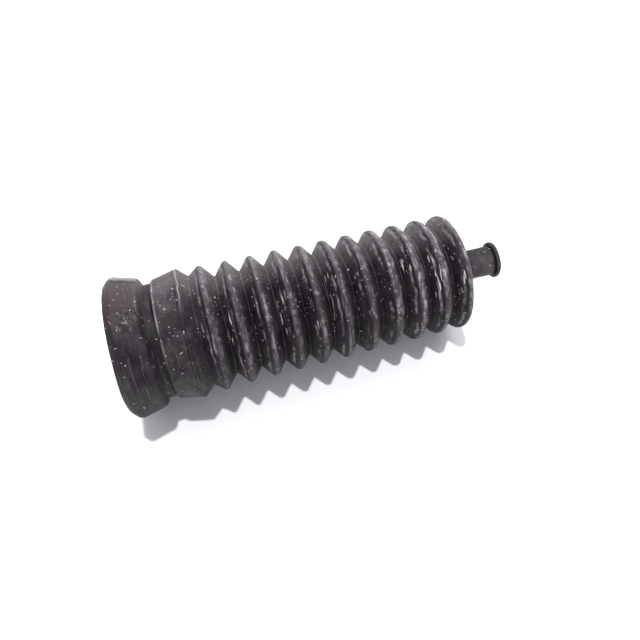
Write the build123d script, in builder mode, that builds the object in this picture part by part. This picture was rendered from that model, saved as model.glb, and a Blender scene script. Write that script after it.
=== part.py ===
from build123d import *

import os
from math import atan2, cos

# A steering rack boot: one rubber moulding, written as the regions between which it flexes.
# Millimetres. X runs along the boot from the cuff's mouth (X = 0) to the neck, and Z is up.
# Every section is drawn in the XY plane, with Y as the radius, and turned about the X axis.

# Mounting cuff, which the rack housing goes into
cuff_bore_radius = 27.0
cuff_bore_length = 14.5
mouth_radius = 29.4
lip_side = (1.2, 31.8)
lip_top = (4.6, 32.8)
collar_end = (15.0, 29.7)
cuff_end = (15.6, 28.6)

# Groove for the band clamp
groove_bore_radius = 23.8
groove_radius = 26.2
groove_start_x = 16.5
groove_end_x = 20.2
groove_fillet = 0.6

# Shoulder: a gentle cone from the groove up to the first crest
shoulder_start_x = 21.4
shoulder_start_radius = 27.6

# Pleats: crests are numbered from the cuff, and root n lies between crests n and n + 1
pleat_count = 12
pitch = 11.5
first_crest = (32.7, 30.0)
second_crest_x = 43.2
crest_radius = 29.0
crest_taper = 0.14
last_crest_rise = 1.3  # its corner stands higher above its rounded top, because its neck side is steeper
first_root = (37.6, 25.6)
root_radius = 22.9
root_taper = 0.09
crest_round = 1.6
crest_round_growth = 0.1
root_round = 0.6
wall = 1.4
last_crest_under = (0.4, 2.6)  # from its outside corner: towards the cuff, and inwards

# A pleat's crest is two stiff hoops with a band between them that bends
crest_half_width = 1.1
hoop_width = 0.9

# Neck, which grips the tie rod, and the bead at its end
neck_foot_x = 168.6
inner_neck_foot_x = 167.7
neck_start_x = 170.0
neck_radius = 7.1
neck_bore_radius = neck_radius - wall
neck_fillet = 1.0
bead_start_x = 180.7
bead_radius = 8.7
bead_round = 0.8
boot_length = 182.9

# A flank's slope, and the wall's thickness there, measured square to the axis
flank_angle = atan2(crest_radius - root_radius, pitch / 2)
wall_across = wall / cos(flank_angle)


def crest_rounding(number):
    """Radius that a crest's top is rounded with: the crests get rounder towards the neck."""
    return crest_round + (number - 1) * crest_round_growth


def crest_corner(number):
    """X and radius of the corner of a crest's outline, which stands above its rounded top."""
    if number == 1:
        return first_crest
    steps = number - 2
    rise = crest_rounding(number) * (1 / cos(flank_angle) - 1)
    if number == pleat_count:
        rise += last_crest_rise
    return second_crest_x + steps * pitch, crest_radius - steps * crest_taper + rise


def root_corner(number):
    """X and radius of the corner of the root that follows a crest."""
    if number == 1:
        return first_root
    return second_crest_x + (number - 1.5) * pitch, root_radius - (number - 2) * root_taper


def under(corner):
    """The corner inside the wall that backs a corner of the outside."""
    x, radius = corner
    return x, radius - wall_across


def write_piece(piece, label):
    piece.label = label
    export_step(piece, f"parts/{label}.step")


crests = [crest_corner(number) for number in range(1, pleat_count + 1)]
roots = [root_corner(number) for number in range(1, pleat_count)]
zigzag = [corner for pair in zip(crests, roots) for corner in pair] + [crests[-1]]

# The wall behind the groove, all along the boot, between its outside and its inside outline.
# It starts inside the groove's ring, so that the shoulder's cut end is square to the axis.
shoulder_slope = (first_crest[1] - shoulder_start_radius) / (first_crest[0] - shoulder_start_x)
wall_start = (
    groove_end_x,
    shoulder_start_radius - shoulder_slope * (shoulder_start_x - groove_end_x),
)
last_crest_inside = (crests[-1][0] - last_crest_under[0], crests[-1][1] - last_crest_under[1])

# Roundings, in turn of a crest, which is tighter inside, and of a root or the neck's foot, which is wider
crest_rounds = [crest_rounding(number) for number in range(1, pleat_count + 1)]
root_rounds = [root_round] * (pleat_count - 1) + [neck_fillet]
outer_rounds = [size for pair in zip(crest_rounds, root_rounds) for size in pair]
inner_pairs = [(crest - wall, root + wall) for crest, root in zip(crest_rounds, root_rounds)]
inner_rounds = [size for pair in inner_pairs for size in pair]
with BuildSketch() as wall_section:
    with BuildLine():
        outside = FilletPolyline(
            wall_start,
            *zigzag,
            (neck_foot_x, neck_radius),
            (bead_start_x, neck_radius),
            radius=outer_rounds,
        )
        inside = FilletPolyline(
            under(wall_start),
            *[under(corner) for corner in zigzag[:-1]],
            last_crest_inside,
            (inner_neck_foot_x, neck_bore_radius),
            (bead_start_x, neck_bore_radius),
            radius=inner_rounds,
        )
        Line(outside @ 0, inside @ 0)
        Line(outside @ 1, inside @ 1)
    make_face()


def wall_slice(start_x, end_x):
    """Section of the wall between two planes square to the axis."""
    with BuildSketch() as piece:
        add(wall_section.sketch)
        with Locations(((start_x + end_x) / 2, crest_radius)):
            Rectangle(end_x - start_x, 2 * crest_radius, mode=Mode.INTERSECT)
    return piece.sketch


os.makedirs("parts", exist_ok=True)

with BuildPart() as mounting_cuff:
    with BuildSketch():
        with BuildLine():
            mouth = Line((0, cuff_bore_radius), (0, mouth_radius))
            lip = ThreePointArc(mouth @ 1, lip_side, lip_top)
            Polyline(
                lip @ 1,
                collar_end,
                cuff_end,
                (cuff_end[0], groove_bore_radius),
                (cuff_bore_length, groove_bore_radius),
                (cuff_bore_length, cuff_bore_radius),
                mouth @ 0,
            )
        make_face()
    revolve(axis=Axis.X)
write_piece(mounting_cuff.part, "mounting_cuff")

with BuildPart() as band_groove:
    with BuildSketch():
        with BuildLine():
            seat = FilletPolyline(
                cuff_end,
                (groove_start_x, groove_radius),
                (groove_end_x, groove_radius),
                (shoulder_start_x, shoulder_start_radius),
                radius=groove_fillet,
            )
            Polyline(
                seat @ 1,
                (shoulder_start_x, groove_bore_radius),
                (cuff_end[0], groove_bore_radius),
                seat @ 0,
            )
        make_face()
    revolve(axis=Axis.X)
write_piece(band_groove.part, "band_groove")

hoop_reach = crest_half_width + hoop_width
with BuildPart() as shoulder:
    add(wall_slice(shoulder_start_x, crests[0][0] - hoop_reach))
    revolve(axis=Axis.X)
write_piece(shoulder.part, "shoulder")

for number, (crest_x, _) in enumerate(crests, start=1):
    with BuildPart() as cuff_side_hoop:
        add(wall_slice(crest_x - hoop_reach, crest_x - crest_half_width))
        revolve(axis=Axis.X)
    write_piece(cuff_side_hoop.part, f"pleat_{number:02d}_cuff_side_hoop")

    with BuildPart() as crest_band:
        add(wall_slice(crest_x - crest_half_width, crest_x + crest_half_width))
        revolve(axis=Axis.X)
    write_piece(crest_band.part, f"pleat_{number:02d}_crest_band")

    with BuildPart() as neck_side_hoop:
        add(wall_slice(crest_x + crest_half_width, crest_x + hoop_reach))
        revolve(axis=Axis.X)
    write_piece(neck_side_hoop.part, f"pleat_{number:02d}_neck_side_hoop")

for number, ((crest_x, _), (next_crest_x, _)) in enumerate(zip(crests, crests[1:]), start=1):
    with BuildPart() as root_fold:
        add(wall_slice(crest_x + hoop_reach, next_crest_x - hoop_reach))
        revolve(axis=Axis.X)
    write_piece(root_fold.part, f"root_fold_{number:02d}")

with BuildPart() as end_wall:
    add(wall_slice(crests[-1][0] + hoop_reach, neck_start_x))
    revolve(axis=Axis.X)
write_piece(end_wall.part, "end_wall")

with BuildPart() as neck:
    add(wall_slice(neck_start_x, bead_start_x))
    revolve(axis=Axis.X)
write_piece(neck.part, "neck")

with BuildPart() as neck_bead:
    with BuildSketch():
        with BuildLine():
            rim = FilletPolyline(
                (bead_start_x, neck_bore_radius),
                (bead_start_x, bead_radius),
                (boot_length, bead_radius),
                (boot_length, neck_bore_radius),
                radius=bead_round,
            )
            Line(rim @ 1, rim @ 0)
        make_face()
    revolve(axis=Axis.X)
write_piece(neck_bead.part, "neck_bead")
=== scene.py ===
"""A steering rack boot of old black rubber, lying on a pale floor.

The boot is one moulding. It is drawn here as a row of rings, each a closed wall turned about the
X axis: the cuff, a ring for each crest, a ring for each root between two crests, and the neck.
"""

import math

import bpy
from mathutils import Matrix, Vector


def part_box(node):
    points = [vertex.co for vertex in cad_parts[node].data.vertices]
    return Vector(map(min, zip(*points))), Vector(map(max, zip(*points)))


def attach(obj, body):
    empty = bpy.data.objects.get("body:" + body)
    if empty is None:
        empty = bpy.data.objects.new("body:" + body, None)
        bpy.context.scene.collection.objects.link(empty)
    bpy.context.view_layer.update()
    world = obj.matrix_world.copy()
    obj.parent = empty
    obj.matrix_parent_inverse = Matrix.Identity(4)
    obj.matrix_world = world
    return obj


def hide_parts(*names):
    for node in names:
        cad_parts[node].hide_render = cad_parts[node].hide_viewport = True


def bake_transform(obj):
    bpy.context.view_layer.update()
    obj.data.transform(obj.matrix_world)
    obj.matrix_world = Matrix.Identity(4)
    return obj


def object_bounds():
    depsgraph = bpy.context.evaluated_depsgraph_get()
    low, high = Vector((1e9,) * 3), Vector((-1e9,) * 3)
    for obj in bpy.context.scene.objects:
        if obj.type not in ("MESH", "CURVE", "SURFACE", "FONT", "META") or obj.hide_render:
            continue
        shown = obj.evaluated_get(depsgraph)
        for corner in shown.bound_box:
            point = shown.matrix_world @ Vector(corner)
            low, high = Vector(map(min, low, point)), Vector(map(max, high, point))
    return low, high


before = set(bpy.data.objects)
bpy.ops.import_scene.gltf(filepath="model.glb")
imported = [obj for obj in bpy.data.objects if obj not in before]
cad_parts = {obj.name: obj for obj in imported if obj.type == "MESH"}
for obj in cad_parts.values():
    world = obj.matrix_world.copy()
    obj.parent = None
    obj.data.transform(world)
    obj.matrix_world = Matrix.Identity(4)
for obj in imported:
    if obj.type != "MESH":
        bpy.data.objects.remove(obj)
cad_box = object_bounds()

MM = 0.001
PLEATS = 12

# --------------------------------------------------------------------------------------------------
# Places and sizes of the moulding: from the frame where the frame gives them
# --------------------------------------------------------------------------------------------------


def node_middle_x(node):
    low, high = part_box(node)
    return (low.x + high.x) / 2


CREST_X = [node_middle_x(f"pleat_{n:02d}_crest_band") for n in range(1, PLEATS + 1)]
HOOP_REACH = (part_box("pleat_02_neck_side_hoop")[1].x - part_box("pleat_02_cuff_side_hoop")[0].x) / 2
SHOULDER_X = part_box("shoulder")[0].x
LIP_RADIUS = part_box("mounting_cuff")[1].z
NECK_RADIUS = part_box("neck")[1].z
BEAD_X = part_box("neck_bead")[0].x
BEAD_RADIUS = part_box("neck_bead")[1].z
BOOT_LENGTH = cad_box[1].x

PITCH = CREST_X[2] - CREST_X[1]
MOUTH_RADIUS = 29.6 * MM
LIP_TOP_X = 4.6 * MM
CREST_RADIUS = 29.1 * MM
CREST_TAPER = 0.13 * MM  # from one crest to the next
CREST_ROUND = 1.6 * MM
CREST_ROUND_GROWTH = 0.1 * MM  # from one crest to the next
FIRST_CREST = (CREST_X[0], 30.1 * MM, 0.9 * MM)
LAST_CREST_RISE = 2.5 * MM
LAST_CREST_UNDER = (0.4 * MM, 0.5 * MM)  # its inside corner is moved towards the cuff, and inwards
FIRST_ROOT = (37.6 * MM, 25.6 * MM, 0.6 * MM)
ROOT_RADIUS = 22.7 * MM
ROOT_TAPER = 0.08 * MM
ROOT_ROUND = 0.5 * MM
WALL = 1.4 * MM
WALL_ACROSS = 2.0 * MM  # a flank's thickness, square to the axis
COLLAR_END = (15.0 * MM, 29.7 * MM)
GROOVE_START_X = 16.5 * MM
GROOVE_END_X = 20.2 * MM
GROOVE_RADIUS = 26.2 * MM
SHOULDER_RADIUS = 27.6 * MM
CUFF_BORE_RADIUS = 27.0 * MM
CUFF_BORE_LENGTH = 14.5 * MM
GROOVE_BORE_RADIUS = 23.8 * MM
NECK_FOOT_X = 168.6 * MM
INNER_NECK_FOOT_X = NECK_FOOT_X - 0.9 * MM
NECK_FOOT_ROUND = 1.0 * MM
NECK_BORE_RADIUS = NECK_RADIUS - WALL

# --------------------------------------------------------------------------------------------------
# Node trees
# --------------------------------------------------------------------------------------------------


class Graph:
    """Short calls for building a node tree: an input takes a number or another node's socket."""

    def __init__(self, tree):
        self.tree = tree

    def add(self, kind, inputs=None, **settings):
        node = self.tree.nodes.new(kind)
        for name, value in settings.items():
            setattr(node, name, value)
        for name, value in (inputs or {}).items():
            if isinstance(value, bpy.types.NodeSocket):
                self.tree.links.new(value, node.inputs[name])
            else:
                node.inputs[name].default_value = value
        return node

    def maths(self, operation, *values):
        inputs = dict(enumerate(values))
        return self.add("ShaderNodeMath", inputs, operation=operation).outputs[0]

    def vector_maths(self, operation, *values):
        inputs = dict(enumerate(values))
        return self.add("ShaderNodeVectorMath", inputs, operation=operation).outputs[0]

    def measure(self, operation, *values):
        """A number taken from vectors: a length, a distance or a dot product."""
        inputs = dict(enumerate(values))
        return self.add("ShaderNodeVectorMath", inputs, operation=operation).outputs["Value"]

    def combine(self, x, y, z):
        return self.add("ShaderNodeCombineXYZ", {"X": x, "Y": y, "Z": z}).outputs[0]

    def noise(self, vector, scale, detail=2.0, roughness=0.5):
        inputs = {"Vector": vector, "Scale": scale, "Detail": detail, "Roughness": roughness}
        return self.add("ShaderNodeTexNoise", inputs).outputs[0]

    def fade(self, value, start, end, low=0.0, high=1.0):
        """low before start, high after end, and a smooth change between."""
        limits = {"From Min": start, "From Max": end, "To Min": low, "To Max": high}
        inputs = {"Value": value, **limits}
        return self.add("ShaderNodeMapRange", inputs, interpolation_type="SMOOTHSTEP").outputs[0]

    def product(self, first, *others):
        for other in others:
            first = self.maths("MULTIPLY", first, other)
        return first

    def mix(self, factor, first, second):
        inputs = {"Factor": factor, "A": first, "B": second}
        node = self.add("ShaderNodeMix", data_type="RGBA")
        sockets = {"Factor": node.inputs[0], "A": node.inputs[6], "B": node.inputs[7]}
        for name, socket in sockets.items():
            if isinstance(inputs[name], bpy.types.NodeSocket):
                self.tree.links.new(inputs[name], socket)
            else:
                socket.default_value = inputs[name]
        return node.outputs[2]


# --------------------------------------------------------------------------------------------------
# Outlines: a ring's section as points (x, radius), from corners (x, radius, rounding)
# --------------------------------------------------------------------------------------------------

ARC_STEPS = 8
SHARPEST_ROUND = 0.2 * MM


def corner_arc(before, corner, after):
    """Points of the arc that rounds a corner."""
    place, rounding = Vector(corner[:2]), corner[2]
    if not rounding:
        return [place]
    back = (Vector(before[:2]) - place).normalized()
    onward = (Vector(after[:2]) - place).normalized()
    half_angle = back.angle(onward) / 2
    middle = place + (back + onward).normalized() * rounding / math.sin(half_angle)
    start = place + back * rounding / math.tan(half_angle) - middle
    end = place + onward * rounding / math.tan(half_angle) - middle
    turn = math.copysign(math.pi - 2 * half_angle, start.cross(end))
    turns = [Matrix.Rotation(turn * step / ARC_STEPS, 2) for step in range(ARC_STEPS + 1)]
    return [middle + part @ start for part in turns]


def rounded(corners):
    """Points of an outline, open at its two ends."""
    points = [Vector(corners[0][:2])]
    for before, corner, after in zip(corners, corners[1:], corners[2:]):
        points += corner_arc(before, corner, after)
    return points + [Vector(corners[-1][:2])]


def crest_corner(number):
    """The corner of a crest, which stands above its rounded top."""
    if number == 1:
        return FIRST_CREST
    steps = number - 2
    rounding = CREST_ROUND + steps * CREST_ROUND_GROWTH
    rise = LAST_CREST_RISE if number == PLEATS else 0.5 * rounding
    return CREST_X[number - 1], CREST_RADIUS - steps * CREST_TAPER + rise, rounding


def root_corner(number):
    """The corner between crests number and number + 1."""
    if number == 1:
        return FIRST_ROOT
    middle_x = (CREST_X[number - 1] + CREST_X[number]) / 2
    return middle_x, ROOT_RADIUS - (number - 2) * ROOT_TAPER, ROOT_ROUND


def pleat_corners():
    corners = []
    for number in range(1, PLEATS):
        corners += [crest_corner(number), root_corner(number)]
    return corners + [crest_corner(PLEATS)]


def inside_corners():
    """The corners inside the wall that back the pleats': tighter at a crest, wider at a root."""
    corners = []
    for index, (x, radius, rounding) in enumerate(pleat_corners()):
        is_crest = index % 2 == 0
        inner_rounding = max(rounding - WALL, SHARPEST_ROUND) if is_crest else rounding + WALL
        corners.append((x, radius - WALL_ACROSS, inner_rounding))
    x, radius, rounding = corners[-1]
    return corners[:-1] + [(x - LAST_CREST_UNDER[0], radius - LAST_CREST_UNDER[1], rounding)]


OUTSIDE = rounded([
    (SHOULDER_X, SHOULDER_RADIUS, 0.0),
    *pleat_corners(),
    (NECK_FOOT_X, NECK_RADIUS, NECK_FOOT_ROUND),
    (BEAD_X, NECK_RADIUS, 0.0),
])
INSIDE = rounded([
    (SHOULDER_X, SHOULDER_RADIUS - WALL_ACROSS, 0.0),
    *inside_corners(),
    (INNER_NECK_FOOT_X, NECK_BORE_RADIUS, NECK_FOOT_ROUND + WALL),
    (BEAD_X, NECK_BORE_RADIUS, 0.0),
])


def point_at(outline, x):
    """Where an outline crosses the plane at x."""
    for start, end in zip(outline, outline[1:]):
        if start.x <= x <= end.x:
            return start.lerp(end, (x - start.x) / (end.x - start.x))
    raise ValueError(f"{x} is not on the outline")


def stretch(outline, start_x, end_x):
    """The part of an outline between two planes square to the axis."""
    between = [point for point in outline if start_x < point.x < end_x]
    return [point_at(outline, start_x), *between, point_at(outline, end_x)]


def wall_outline(start_x, end_x):
    return stretch(OUTSIDE, start_x, end_x) + stretch(INSIDE, start_x, end_x)[::-1]


def cuff_outline():
    end_x = CREST_X[0] - HOOP_REACH
    return rounded([
        (*point_at(INSIDE, end_x), 0.0),
        (SHOULDER_X + 1.2 * MM, SHOULDER_RADIUS - WALL_ACROSS, 0.6 * MM),
        (SHOULDER_X + 0.4 * MM, GROOVE_BORE_RADIUS, 0.6 * MM),
        (CUFF_BORE_LENGTH, GROOVE_BORE_RADIUS, 0.6 * MM),
        (CUFF_BORE_LENGTH, CUFF_BORE_RADIUS, 0.5 * MM),
        (0.0, CUFF_BORE_RADIUS, 0.8 * MM),
        (0.0, MOUTH_RADIUS, 1.0 * MM),
        (LIP_TOP_X - 1.4 * MM, LIP_RADIUS, 2.6 * MM),
        (*COLLAR_END, 2.4 * MM),
        (GROOVE_START_X, GROOVE_RADIUS, 0.6 * MM),
        (GROOVE_END_X, GROOVE_RADIUS, 0.6 * MM),
        (SHOULDER_X, SHOULDER_RADIUS, 0.4 * MM),
        (*point_at(OUTSIDE, end_x), 0.0),
    ])


def neck_outline():
    start_x = CREST_X[-1] + HOOP_REACH
    bead = rounded([
        (BEAD_X, NECK_RADIUS, 0.0),
        (BEAD_X, BEAD_RADIUS, 0.7 * MM),
        (BOOT_LENGTH, BEAD_RADIUS, 0.9 * MM),
        (BOOT_LENGTH, NECK_BORE_RADIUS, 0.3 * MM),
        (BEAD_X, NECK_BORE_RADIUS, 0.0),
    ])
    outside, inside = stretch(OUTSIDE, start_x, BEAD_X), stretch(INSIDE, start_x, BEAD_X)
    return outside + bead[1:-1] + inside[::-1]


# --------------------------------------------------------------------------------------------------
# The moulding tree: turns an outline about the X axis, makes it uneven and sticks grit on it
# --------------------------------------------------------------------------------------------------

OFF_CREST = "off_crest"  # the attribute that the rubber's finish follows
MERGE_DISTANCE = 0.002 * MM
SHARP_ANGLE = math.radians(50)

# Noise that makes the moulding uneven: the input that sets its amount, its length along the boot,
# its swing round the boot, and a shift that makes it differ from the others
UNEVENNESS = (
    ("Sway", 26 * MM, 0.8, 0.0),
    ("Swell", 17 * MM, 1.6, 7.0),
    ("Nicks", 3.5 * MM, 8.0, 13.0),
)
NECK_LIFT_FADE = (162 * MM, 172 * MM)
NECK_LIFT_TOWARDS = (0.8, 0.6)  # the Y and Z parts of the direction that the neck is lifted in

MOULDING_INPUTS = (
    ("Geometry", "NodeSocketGeometry", None),
    ("Steps round", "NodeSocketInt", 240),
    ("Step along", "NodeSocketFloat", 0.5 * MM),
    ("Sway", "NodeSocketFloat", 0.3 * MM),
    ("Swell", "NodeSocketFloat", 0.25 * MM),
    ("Nicks", "NodeSocketFloat", 0.09 * MM),
    ("Mouth dent", "NodeSocketFloat", 0.9 * MM),
    ("Neck lift", "NodeSocketFloat", 0.9 * MM),
    ("Grit density", "NodeSocketFloat", 60000.0),
    ("Grit size", "NodeSocketFloat", 0.32 * MM),
    ("Seed", "NodeSocketInt", 3),
    ("Rubber", "NodeSocketMaterial", None),
    ("Grit", "NodeSocketMaterial", None),
)


def uneven(graph, inputs, place, turn_cosine, turn_sine):
    """The shift along the axis and along the radius that age gives a point of the moulding."""
    shifts = {}
    for name, length, swing, shift in UNEVENNESS:
        vector = graph.combine(
            graph.maths("ADD", graph.maths("DIVIDE", place, length), shift),
            graph.maths("MULTIPLY", turn_cosine, swing),
            graph.maths("MULTIPLY", turn_sine, swing),
        )
        noise = graph.noise(vector, 1.0, detail=1.0)
        shifts[name] = graph.product(graph.maths("MULTIPLY_ADD", noise, 2.0, -1.0), inputs[name])

    # The mouth's upper edge is pressed in
    near_mouth = graph.fade(place, 0.0, 12 * MM, 1.0, 0.0)
    dented = graph.product(graph.fade(turn_sine, 0.2, 1.0), near_mouth)
    sway = graph.maths("ADD", shifts["Sway"], graph.product(dented, inputs["Mouth dent"]))
    return sway, graph.maths("ADD", shifts["Swell"], shifts["Nicks"])


def off_crest(graph, place):
    """How far along a place is from the crest nearest to it: below zero on the cuff's side."""
    past_second = graph.maths("SUBTRACT", place, CREST_X[1])
    steps = graph.maths("ROUND", graph.maths("DIVIDE", past_second, PITCH))
    steps = graph.maths("MINIMUM", graph.maths("MAXIMUM", steps, 0.0), PLEATS - 2.0)
    crest = graph.maths("MULTIPLY_ADD", steps, PITCH, CREST_X[1])
    at_first = graph.maths("LESS_THAN", place, FIRST_ROOT[0])
    crest = graph.maths("MULTIPLY_ADD", at_first, CREST_X[0] - CREST_X[1], crest)
    return graph.maths("SUBTRACT", place, crest)


def stick_grit(graph, inputs, ring, position):
    """Small crumbs on the outside, most of them on the walls that face the neck."""
    patches = graph.fade(graph.noise(position, 90.0, detail=3.0), 0.5, 0.7)
    facing = graph.add("GeometryNodeInputNormal").outputs[0]
    away = graph.vector_maths("MULTIPLY", position, graph.combine(0.0, 1.0, 1.0))
    outside = graph.maths("GREATER_THAN", graph.measure("DOT_PRODUCT", away, facing), 0.0)
    neckward = graph.add("ShaderNodeSeparateXYZ", {0: facing}).outputs[0]
    neckward = graph.fade(neckward, 0.2, 0.6, 0.08, 1.0)
    density = graph.product(patches, outside, neckward, inputs["Grit density"])
    spread_inputs = {"Mesh": ring, "Density": density, "Seed": inputs["Seed"]}
    spread = graph.add(
        "GeometryNodeDistributePointsOnFaces", spread_inputs, distribute_method="RANDOM"
    )
    crumb = graph.add("GeometryNodeMeshIcoSphere", {"Radius": 1.0, "Subdivisions": 1}).outputs[0]
    random_inputs = {"Min": (0.3, 0.3, 0.2), "Max": (1.0, 1.4, 0.7), "Seed": inputs["Seed"]}
    random = graph.add("FunctionNodeRandomValue", random_inputs, data_type="FLOAT_VECTOR")
    scale_inputs = {0: random.outputs[0], "Scale": inputs["Grit size"]}
    crumbs_inputs = {
        "Points": spread.outputs["Points"],
        "Instance": crumb,
        "Rotation": spread.outputs["Rotation"],
        "Scale": graph.add("ShaderNodeVectorMath", scale_inputs, operation="SCALE").outputs[0],
    }
    crumbs = graph.add("GeometryNodeInstanceOnPoints", crumbs_inputs).outputs[0]
    crumbs = graph.add("GeometryNodeRealizeInstances", {"Geometry": crumbs}).outputs[0]
    finish_inputs = {"Geometry": crumbs, "Material": inputs["Grit"]}
    return graph.add("GeometryNodeSetMaterial", finish_inputs).outputs[0]


def moulding_tree():
    tree = bpy.data.node_groups.new("turned_moulding", "GeometryNodeTree")
    for name, kind, value in MOULDING_INPUTS:
        socket = tree.interface.new_socket(name, in_out="INPUT", socket_type=kind)
        if value is not None:
            socket.default_value = value
    tree.interface.new_socket("Geometry", in_out="OUTPUT", socket_type="NodeSocketGeometry")
    graph = Graph(tree)
    inputs = graph.add("NodeGroupInput").outputs

    # The outline with its long sides divided
    curve = graph.add("GeometryNodeMeshToCurve", {"Mesh": inputs["Geometry"]}).outputs[0]
    position = graph.add("GeometryNodeInputPosition").outputs[0]
    index = graph.add("GeometryNodeInputIndex").outputs[0]
    next_point = graph.add("GeometryNodeOffsetPointInCurve", {"Point Index": index, "Offset": 1})
    next_inputs = {"Value": position, "Index": next_point.outputs[1]}
    next_place = graph.add("GeometryNodeFieldAtIndex", next_inputs, data_type="FLOAT_VECTOR")
    gap = graph.measure("DISTANCE", position, next_place.outputs[0])
    cuts = graph.maths("FLOOR", graph.maths("DIVIDE", gap, inputs["Step along"]))
    curve = graph.add("GeometryNodeSubdivideCurve", {"Curve": curve, "Cuts": cuts}).outputs[0]

    # A grid whose columns follow the outline and whose rows go round the axis
    size = graph.add("GeometryNodeAttributeDomainSize", {"Geometry": curve}, component="CURVE")
    points = size.outputs["Point Count"]
    grid_inputs = {
        "Size X": 1.0,
        "Size Y": 1.0,
        "Vertices X": graph.maths("ADD", points, 1.0),
        "Vertices Y": graph.maths("ADD", inputs["Steps round"], 1.0),
    }
    grid = graph.add("GeometryNodeMeshGrid", grid_inputs).outputs[0]
    on_grid = graph.add("ShaderNodeSeparateXYZ", {0: position})
    column = graph.product(graph.maths("ADD", on_grid.outputs[0], 0.5), points)
    column = graph.maths("MODULO", graph.maths("ROUND", column), points)
    sample_inputs = {"Geometry": curve, "Value": position, "Index": column}
    sample = graph.add("GeometryNodeSampleIndex", sample_inputs, data_type="FLOAT_VECTOR")
    along, radius, _ = graph.add("ShaderNodeSeparateXYZ", {0: sample.outputs[0]}).outputs

    # Each point of the grid is moved to its place, and told how far it is from a crest
    angle = graph.maths("MULTIPLY", graph.maths("ADD", on_grid.outputs[1], 0.5), math.tau)
    cosine, sine = graph.maths("COSINE", angle), graph.maths("SINE", angle)
    sway, swell = uneven(graph, inputs, along, cosine, sine)
    radius = graph.maths("ADD", radius, swell)
    lift = graph.product(graph.fade(along, *NECK_LIFT_FADE), inputs["Neck lift"])
    lift_y, lift_z = [graph.product(lift, part) for part in NECK_LIFT_TOWARDS]
    turned = graph.combine(
        graph.maths("ADD", along, sway),
        graph.maths("ADD", graph.product(radius, cosine), lift_y),
        graph.maths("ADD", graph.product(radius, sine), lift_z),
    )
    store_inputs = {"Geometry": grid, "Name": OFF_CREST, "Value": off_crest(graph, along)}
    store = graph.add(
        "GeometryNodeStoreNamedAttribute", store_inputs, data_type="FLOAT", domain="POINT"
    )
    ring_inputs = {"Geometry": store.outputs[0], "Position": turned}
    ring = graph.add("GeometryNodeSetPosition", ring_inputs).outputs[0]
    merge_inputs = {"Geometry": ring, "Distance": MERGE_DISTANCE}
    ring = graph.add("GeometryNodeMergeByDistance", merge_inputs).outputs[0]
    ring = graph.add("GeometryNodeSetShadeSmooth", {"Geometry": ring}).outputs[0]
    finish_inputs = {"Geometry": ring, "Material": inputs["Rubber"]}
    ring = graph.add("GeometryNodeSetMaterial", finish_inputs).outputs[0]

    both = graph.add("GeometryNodeJoinGeometry")
    tree.links.new(stick_grit(graph, inputs, ring, position), both.inputs[0])
    tree.links.new(ring, both.inputs[0])
    graph.add("NodeGroupOutput", {"Geometry": both.outputs[0]})
    return tree


def outline_mesh(name, outline):
    mesh = bpy.data.meshes.new(name)
    edges = [(i, (i + 1) % len(outline)) for i in range(len(outline))]
    mesh.from_pydata([(x, radius, 0.0) for x, radius in outline], edges, [])
    return mesh


def mould(name, outline, tree, **values):
    """A finished ring from its outline."""
    piece = bpy.data.objects.new(name, outline_mesh(name, outline))
    bpy.context.scene.collection.objects.link(piece)
    modifier = piece.modifiers.new("moulding", "NODES")
    modifier.node_group = tree
    for socket in tree.interface.items_tree:
        if socket.in_out == "INPUT" and socket.name in values:
            modifier[socket.identifier] = values[socket.name]
    depsgraph = bpy.context.evaluated_depsgraph_get()
    finished = bpy.data.meshes.new_from_object(piece.evaluated_get(depsgraph))
    piece.modifiers.clear()
    drawn = piece.data
    piece.data = finished
    bpy.data.meshes.remove(drawn)
    finished.name = name
    finished.set_sharp_from_angle(angle=SHARP_ANGLE)
    return piece


# --------------------------------------------------------------------------------------------------
# Materials
# --------------------------------------------------------------------------------------------------

BLACK = (0.0062, 0.0038, 0.0078, 1.0)
GREY_BLACK = (0.017, 0.0135, 0.0165, 1.0)
# Dark dirt, also used as painted shade in roots, grooves, steps and on edges
DIRT_AND_SHADE = (0.0026, 0.0014, 0.0034, 1.0)
MAUVE = (0.034, 0.022, 0.023, 1.0)
# A grey bloom, also used as painted sheen on the upper side
HAZE_AND_SHEEN = (0.115, 0.107, 0.111, 1.0)
# Pale dust, also used as painted sheen and painted highlights on walls and edges
DUST_AND_SHEEN = (0.36, 0.335, 0.35, 1.0)
PALE = (0.62, 0.6, 0.6, 1.0)

# Where the marks begin along the boot
PLEATS_FADE = (38 * MM, 42 * MM)
NECK_FADE = (166 * MM, 169 * MM)
DUST_AND_SHEEN_END_X = 138 * MM  # from here on the dust and its painted sheen are as wide and as thick as they get

# Where the marks lie round the boot, in degrees from +Y towards +Z
TOP_SIDE = 38
FIRST_EDGE_SIDE = 55
SHOULDER_EDGE_SIDE = 85
STAIN_SIDE = 78
STRIP_LOW_SIDE, STRIP_HIGH_SIDE = 35, 95
CHIP_SIDE = 100
SCRATCH_SIDE = 118


def new_material(name):
    material = bpy.data.materials.new(name)
    material.use_nodes = True
    tree = material.node_tree
    tree.nodes.clear()
    graph = Graph(tree)
    shader = graph.add("ShaderNodeBsdfPrincipled")
    graph.add("ShaderNodeOutputMaterial", {"Surface": shader.outputs[0]})
    return material, graph, shader


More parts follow.
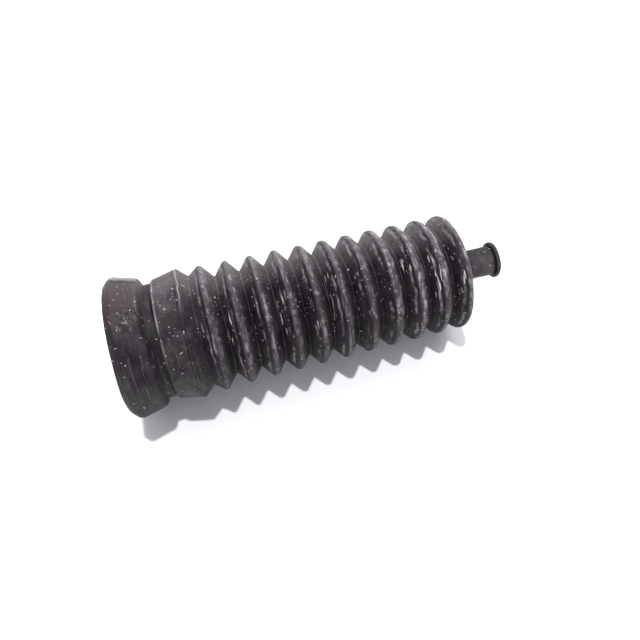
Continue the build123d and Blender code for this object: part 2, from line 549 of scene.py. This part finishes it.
class Rubber:
    """Black rubber gone grey: its node tree, the places marks are laid by, and the colour so far."""

    def __init__(self):
        self.material, graph, self.shader = new_material("old_black_rubber")
        self.graph = graph
        self.place = graph.add("ShaderNodeTexCoord").outputs["Object"]
        self.along, y, z = graph.add("ShaderNodeSeparateXYZ", {0: self.place}).outputs
        around = graph.vector_maths("NORMALIZE", graph.combine(0.0, y, z))
        self.around_y, self.around_z = graph.add("ShaderNodeSeparateXYZ", {0: around}).outputs[1:]
        crest = graph.add("ShaderNodeAttribute", attribute_name=OFF_CREST)
        self.past_crest = crest.outputs["Fac"]
        wander = self.streaks(90.0, 2.5, 9.0, 2.0)
        wander = graph.maths("MULTIPLY_ADD", wander, 2.4 * MM, -1.2 * MM)
        self.past_line = graph.maths("ADD", self.past_crest, wander)
        self.on_pleats = graph.fade(self.along, *PLEATS_FADE)
        cloud = graph.noise(self.place, 85.0, detail=6.0, roughness=0.68)
        self.cloud = graph.fade(cloud, 0.34, 0.72)
        self.brushed = graph.fade(self.streaks(900.0, 3.0, 3.0, 6.0), 0.38, 0.64)
        mottle = graph.noise(self.place, 130.0, detail=4.0, roughness=0.65)
        self.colour = graph.mix(graph.fade(mottle, 0.36, 0.7), BLACK, GREY_BLACK)

    def paint(self, amount, colour):
        self.colour = self.graph.mix(amount, self.colour, colour)

    def streaks(self, fineness, swing, shift, detail):
        """Noise drawn out round the boot."""
        vector = self.graph.combine(
            self.graph.maths("MULTIPLY_ADD", self.along, fineness, shift),
            self.graph.maths("MULTIPLY", self.around_y, swing),
            self.graph.maths("MULTIPLY", self.around_z, swing),
        )
        return self.graph.noise(vector, 1.0, detail=detail, roughness=0.6)

    def towards(self, side):
        """How far a point round the boot is turned to a side: 1 there, -1 across from it."""
        cosine, sine = math.cos(math.radians(side)), math.sin(math.radians(side))
        parts = self.graph.product(self.around_y, cosine), self.graph.product(self.around_z, sine)
        return self.graph.maths("ADD", *parts)

    def between(self, value, start, end, soft):
        rise = self.graph.fade(value, start - soft, start + soft)
        fall = self.graph.fade(value, end - soft, end + soft, 1.0, 0.0)
        return self.graph.product(rise, fall)

    def line_at(self, distance, width):
        """A line round every crest, so far past it, that wanders a little."""
        off_line = self.graph.maths("SUBTRACT", self.past_line, distance)
        off_line = self.graph.maths("ABSOLUTE", off_line)
        return self.graph.fade(off_line, 0.5 * width, 0.5 * width + 0.25 * MM, 1.0, 0.0)

    def shade_roots(self):
        # Painted shade deep in the roots between crests
        from_crest = self.graph.maths("ABSOLUTE", self.past_crest)
        deep = self.graph.fade(from_crest, 3.6 * MM, 5.4 * MM)
        self.paint(self.graph.product(deep, self.on_pleats, 0.8), DIRT_AND_SHADE)

    def add_bloom_and_sheen(self):
        """A grey bloom on the cuff's half and on the neck; on the side that lay uppermost, bloom with
        painted sheen.
        """
        graph, along, cloud = self.graph, self.along, self.cloud
        uppermost = self.towards(TOP_SIDE)
        before_neck = graph.fade(along, *NECK_FADE, 1.0, 0.0)
        # The side that lay uppermost is lightened: painted sheen as well as bloom
        sheen_on_top = graph.product(graph.fade(uppermost, 0.48, 0.97), before_neck)
        sheen_on_top = graph.product(sheen_on_top, graph.maths("MULTIPLY_ADD", cloud, 0.45, 0.42))
        on_shoulder = graph.fade(along, 24 * MM, 46 * MM, 0.6, 0.12)
        on_cuff = graph.product(on_shoulder, graph.fade(along, 14 * MM, 20 * MM, 0.5, 1.0))
        streaky = graph.maths("MULTIPLY_ADD", self.brushed, 0.6, 0.5)
        on_cuff = graph.product(on_cuff, cloud, streaky)
        off_top = graph.fade(uppermost, 0.0, 0.9, 1.0, 0.25)
        cloudy = graph.maths("MULTIPLY_ADD", cloud, 0.6, 0.2)
        on_neck = graph.product(graph.fade(along, *NECK_FADE), off_top, cloudy)
        bloom = graph.maths("MAXIMUM", graph.maths("MAXIMUM", sheen_on_top, on_cuff), on_neck)
        self.paint(bloom, HAZE_AND_SHEEN)

    def lay_dust_and_sheen(self):
        """Dust and painted sheen on crests and on walls facing the neck, thicker towards the neck."""
        graph, along, past_crest = self.graph, self.along, self.past_crest
        width = graph.fade(along, 105 * MM, DUST_AND_SHEEN_END_X, 3.0 * MM, 5.6 * MM)
        past_start = graph.maths("SUBTRACT", past_crest, 0.6 * MM)
        left = graph.maths("SUBTRACT", 1.0, graph.maths("DIVIDE", past_start, width))
        past_top = graph.fade(past_crest, -1.1 * MM, 0.3 * MM)
        lee = graph.product(past_top, graph.fade(left, 0.1, 0.9), self.on_pleats)
        thick = graph.fade(along, 95 * MM, DUST_AND_SHEEN_END_X, 0.52, 0.95)
        broken = graph.fade(self.streaks(420.0, 9.0, 21.0, 4.0), 0.4, 0.62)
        streaky = graph.maths("ADD", graph.product(broken, self.brushed), 0.12)
        amount = graph.product(lee, thick, streaky)
        self.paint(amount, DUST_AND_SHEEN)
        roughness = graph.fade(amount, 0.0, 0.5, 0.58, 0.9)
        graph.tree.links.new(roughness, self.shader.inputs["Roughness"])

    def draw_moulding_lines(self):
        """On each crest's cuff side, a dark moulding line and a rubbed one below it."""
        graph = self.graph
        rubbed = graph.fade(self.streaks(260.0, 3.5, 17.0, 3.0), 0.42, 0.66)
        rubbed = graph.product(rubbed, self.line_at(-2.5 * MM, 0.6 * MM))
        self.paint(graph.product(rubbed, self.on_pleats, 0.5), DUST_AND_SHEEN)
        broken = graph.fade(self.streaks(90.0, 4.0, 5.0, 2.0), 0.4, 0.52)
        seam = graph.product(self.line_at(-1.4 * MM, 0.3 * MM), broken)
        self.paint(graph.product(seam, 0.85), DIRT_AND_SHADE)

    def mark_cuff(self):
        """On top, a brown stain with a ragged lower edge, a pale strip over it, and chips; painted
        shade on the lip.
        """
        graph, along = self.graph, self.along
        ragged = graph.noise(self.place, 420.0, detail=4.0, roughness=0.7)

        turned = graph.maths("MULTIPLY_ADD", ragged, 0.3, self.towards(STAIN_SIDE))
        on_stain = self.between(along, 2.0 * MM, 14.0 * MM, 0.8 * MM)
        stain = graph.product(graph.fade(turned, 1.02, 1.08), on_stain)
        cloudy = graph.maths("MULTIPLY_ADD", self.cloud, 0.4, 0.5)
        self.paint(graph.product(stain, cloudy), MAUVE)

        on_collar = self.between(along, 3.0 * MM, 15.0 * MM, 0.5 * MM)
        low_side, high_side = self.towards(STRIP_LOW_SIDE), self.towards(STRIP_HIGH_SIDE)
        strip = graph.product(graph.fade(low_side, 0.955, 0.975), graph.fade(high_side, 0.3, 0.62))
        self.paint(graph.product(strip, on_collar, 0.4), DUST_AND_SHEEN)

        chipped = self.between(self.towards(CHIP_SIDE), 0.985, 1.1, 0.008)
        chipped = graph.product(chipped, self.between(along, 6 * MM, 15 * MM, 1.5 * MM))
        self.paint(graph.product(chipped, graph.fade(ragged, 0.6, 0.68), 0.5), DUST_AND_SHEEN)
        self.paint(graph.product(chipped, graph.fade(ragged, 0.52, 0.44)), DIRT_AND_SHADE)

        # Painted shade along the lip's rim, and a dark line under the strip
        shaded_lip_rim = self.between(along, 0.2 * MM, 3.0 * MM, 0.5 * MM)
        under_strip = graph.product(self.between(low_side, 0.925, 0.945, 0.006), on_collar)
        self.paint(graph.product(graph.maths("MAXIMUM", shaded_lip_rim, under_strip), 0.8), DIRT_AND_SHADE)

    def mark_steps(self):
        """Painted shade in the clamp groove and on the step before the bead; painted highlights on
        outer edges.
        """
        graph, along = self.graph, self.along
        groove = self.between(along, GROOVE_START_X, GROOVE_END_X + 0.6 * MM, 0.4 * MM)
        step = self.between(along, BEAD_X - 0.8 * MM, BEAD_X + 0.2 * MM, 0.2 * MM)
        self.paint(graph.product(graph.maths("MAXIMUM", groove, step), 0.8), DIRT_AND_SHADE)

        # A streaked painted highlight on the shoulder's outer edge
        edge = self.between(along, SHOULDER_X - 0.2 * MM, SHOULDER_X + 0.5 * MM, 0.15 * MM)
        lit_side_of_edge = graph.fade(self.towards(SHOULDER_EDGE_SIDE), 0.6, 0.95, 0.06, 0.7)
        self.paint(graph.product(edge, self.brushed, lit_side_of_edge), DUST_AND_SHEEN)

        # The first crest's edge has a painted highlight on top and painted shade below
        before_pleats = graph.fade(along, 38 * MM, 36 * MM)
        first_edge = graph.product(self.line_at(0.0, 0.3 * MM), before_pleats)
        side = self.towards(FIRST_EDGE_SIDE)
        self.paint(graph.product(first_edge, graph.fade(side, 0.7, 0.9), 0.5), DUST_AND_SHEEN)
        self.paint(graph.product(first_edge, graph.fade(side, 0.7, 0.5), 0.85), DIRT_AND_SHADE)

    def scratch(self):
        """Fine scratches round the boot, most on walls that face the cuff, specks, and relief."""
        graph, place = self.graph, self.place
        fine = graph.fade(self.streaks(1100.0, 2.4, 11.0, 1.0), 0.62, 0.66)
        patches = graph.fade(graph.noise(place, 45.0, detail=1.0), 0.42, 0.52)
        below_crest = self.between(self.past_crest, -5 * MM, -1 * MM, 0.8 * MM)
        on_side = graph.fade(self.towards(SCRATCH_SIDE), 0.86, 0.96)
        below_crest = graph.product(on_side, below_crest, self.on_pleats)
        elsewhere = graph.fade(self.along, 110 * MM, 30 * MM, 0.0, 0.05)
        where = graph.maths("MAXIMUM", below_crest, elsewhere)
        specks = graph.fade(graph.noise(place, 900.0, detail=0.0), 0.77, 0.82)
        marks = graph.product(fine, patches, where)
        marks = graph.maths("MAXIMUM", marks, graph.product(specks, 0.5))
        self.paint(marks, PALE)

        grain = graph.product(graph.noise(place, 2600.0, detail=2.0), 0.25)
        relief = graph.maths("ADD", grain, graph.noise(place, 300.0, detail=4.0))
        relief = graph.maths("ADD", relief, graph.product(marks, -0.5))
        bump_inputs = {"Strength": 0.5, "Distance": 0.16 * MM, "Height": relief}
        bump = graph.add("ShaderNodeBump", bump_inputs)
        graph.tree.links.new(bump.outputs[0], self.shader.inputs["Normal"])


def old_rubber():
    rubber = Rubber()
    rubber.shade_roots()
    rubber.add_bloom_and_sheen()
    rubber.lay_dust_and_sheen()
    rubber.draw_moulding_lines()
    rubber.mark_cuff()
    rubber.mark_steps()
    rubber.scratch()
    rubber.graph.tree.links.new(rubber.colour, rubber.shader.inputs["Base Color"])
    rubber.shader.inputs["Specular IOR Level"].default_value = 0.22
    return rubber.material


def grit():
    material, graph, shader = new_material("dry_grit")
    place = graph.add("ShaderNodeTexCoord").outputs["Object"]
    shade = graph.fade(graph.noise(place, 900.0, detail=1.0), 0.35, 0.65)
    colour = graph.mix(shade, (0.16, 0.155, 0.16, 1.0), (0.6, 0.58, 0.58, 1.0))
    graph.tree.links.new(colour, shader.inputs["Base Color"])
    shader.inputs["Roughness"].default_value = 0.95
    return material


# --------------------------------------------------------------------------------------------------
# The boot
# --------------------------------------------------------------------------------------------------


def neck_side(number):
    return f"pleat_{number:02d}_neck_side"


def make_boot():
    tree = moulding_tree()
    finish = {"Rubber": old_rubber(), "Grit": grit()}

    cuff = mould("cuff_moulding", cuff_outline(), tree, **finish)
    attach(cuff, "cuff")
    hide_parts("mounting_cuff", "band_groove", "shoulder")

    for number, x in enumerate(CREST_X, start=1):
        start_x, end_x = x - HOOP_REACH, x + HOOP_REACH
        crest = mould(f"crest_{number:02d}", wall_outline(start_x, end_x), tree, **finish)
        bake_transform(crest)
        pleat = f"pleat_{number:02d}"
        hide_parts(f"{pleat}_cuff_side_hoop", f"{pleat}_crest_band", f"{pleat}_neck_side_hoop")

    for number in range(1, PLEATS):
        start_x, end_x = CREST_X[number - 1] + HOOP_REACH, CREST_X[number] - HOOP_REACH
        root = mould(f"root_{number:02d}", wall_outline(start_x, end_x), tree, **finish)
        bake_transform(root)
        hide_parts(f"root_fold_{number:02d}")

    neck = mould("neck_moulding", neck_outline(), tree, **finish)
    neck.visible_shadow = False  # the floor is as bright under the neck as beside it
    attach(neck, neck_side(PLEATS))
    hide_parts("end_wall", "neck", "neck_bead")


# --------------------------------------------------------------------------------------------------
# Camera, floor and light
# --------------------------------------------------------------------------------------------------

VIEW_ELEVATION = math.radians(60.0)
VIEW_TURN = math.radians(15.6)  # the boot's neck is turned this far away from the camera
VIEW_DISTANCE = 297.2 * MM
VIEW_AIM = Vector((92.3, -6.6, -5.0)) * MM
LENS = 35.2

LEVEL_FORWARD = Vector((math.sin(VIEW_TURN), math.cos(VIEW_TURN), 0.0))
LEVEL_RIGHT = Vector((math.cos(VIEW_TURN), -math.sin(VIEW_TURN), 0.0))
UP = Vector((0.0, 0.0, 1.0))

LAMP_PLACE = Vector((35.0, 5.0, 1200.0)) * MM
FLOOR_REACH = 3.0
FLOOR_GAP = 0.3 * MM


def make_camera():
    data = bpy.data.cameras.new("camera")
    data.lens = LENS
    data.sensor_width = 36.0
    data.clip_start = 0.01
    camera = bpy.data.objects.new("camera", data)
    forward = math.cos(VIEW_ELEVATION) * LEVEL_FORWARD - math.sin(VIEW_ELEVATION) * UP
    camera.location = VIEW_AIM - VIEW_DISTANCE * forward
    camera.rotation_euler = forward.to_track_quat("-Z", "Y").to_euler()
    bpy.context.scene.collection.objects.link(camera)
    bpy.context.scene.camera = camera


def make_floor():
    """A plane that the cuff's lip and the last crest rest on."""
    last_x, last_radius = CREST_X[-1], CREST_RADIUS - (PLEATS - 2) * CREST_TAPER
    slope = (LIP_RADIUS - last_radius) / (last_x - LIP_TOP_X)
    corners = []
    for side_x, side_y in ((-1, -1), (1, -1), (1, 1), (-1, 1)):
        x, y = side_x * FLOOR_REACH, side_y * FLOOR_REACH
        corners.append((x, y, slope * (x - LIP_TOP_X) - LIP_RADIUS - FLOOR_GAP))
    mesh = bpy.data.meshes.new("floor")
    mesh.from_pydata(corners, [], [(0, 1, 2, 3)])
    floor = bpy.data.objects.new("floor", mesh)
    bpy.context.scene.collection.objects.link(floor)
    material, graph, shader = new_material("white_board")
    place = graph.add("ShaderNodeTexCoord").outputs["Object"]
    shade = graph.fade(graph.noise(place, 3.0), 0.3, 0.7)
    colour = graph.mix(shade, (0.86, 0.86, 0.865, 1.0), (0.88, 0.88, 0.885, 1.0))
    graph.tree.links.new(colour, shader.inputs["Base Color"])
    shader.inputs["Roughness"].default_value = 0.9
    shader.inputs["Specular IOR Level"].default_value = 0.1
    glow = graph.fade(graph.measure("LENGTH", place), 0.25, 1.2, 0.03, 0.7)
    graph.tree.links.new(glow, shader.inputs["Emission Strength"])
    shader.inputs["Emission Color"].default_value = (1.0, 1.0, 1.0, 1.0)
    mesh.materials.append(material)


def place_light(data, location, away):
    """Add a light that shines against the direction away."""
    light = bpy.data.objects.new(data.name, data)
    light.location = location
    light.rotation_euler = away.to_track_quat("Z", "Y").to_euler()
    bpy.context.scene.collection.objects.link(light)


def make_lights():
    """A lamp overhead, a wide window behind and to the right, and a pale room."""
    lamp = bpy.data.lights.new("lamp", "AREA")
    lamp.shape = "DISK"
    lamp.size = 52 * MM
    lamp.energy = 11.2
    place_light(lamp, LAMP_PLACE, UP)

    window = bpy.data.lights.new("window", "SUN")
    window.energy = 1.9
    window.angle = math.radians(60)
    place_light(window, Vector(), UP + LEVEL_FORWARD + 0.3 * LEVEL_RIGHT)

    world = bpy.data.worlds.new("room")
    bpy.context.scene.world = world
    world.use_nodes = True
    world.node_tree.nodes.clear()
    graph = Graph(world.node_tree)
    direction = graph.add("ShaderNodeTexCoord").outputs["Generated"]
    behind = graph.measure("DOT_PRODUCT", direction, LEVEL_FORWARD)
    brightness = graph.fade(behind, -0.2, 0.7, 0.52, 1.0)
    seen = graph.add("ShaderNodeLightPath").outputs["Is Camera Ray"]
    light_inputs = {"Color": (0.96, 0.92, 1.0, 1.0), "Strength": brightness}
    light = graph.add("ShaderNodeBackground", light_inputs)
    view = graph.add("ShaderNodeBackground", {"Color": (1, 1, 1, 1), "Strength": 0.95})
    both = graph.add("ShaderNodeMixShader", {0: seen, 1: light.outputs[0], 2: view.outputs[0]})
    graph.add("ShaderNodeOutputWorld", {"Surface": both.outputs[0]})
    bpy.context.scene.view_settings.view_transform = "Standard"


make_camera()
make_floor()
make_lights()
make_boot()
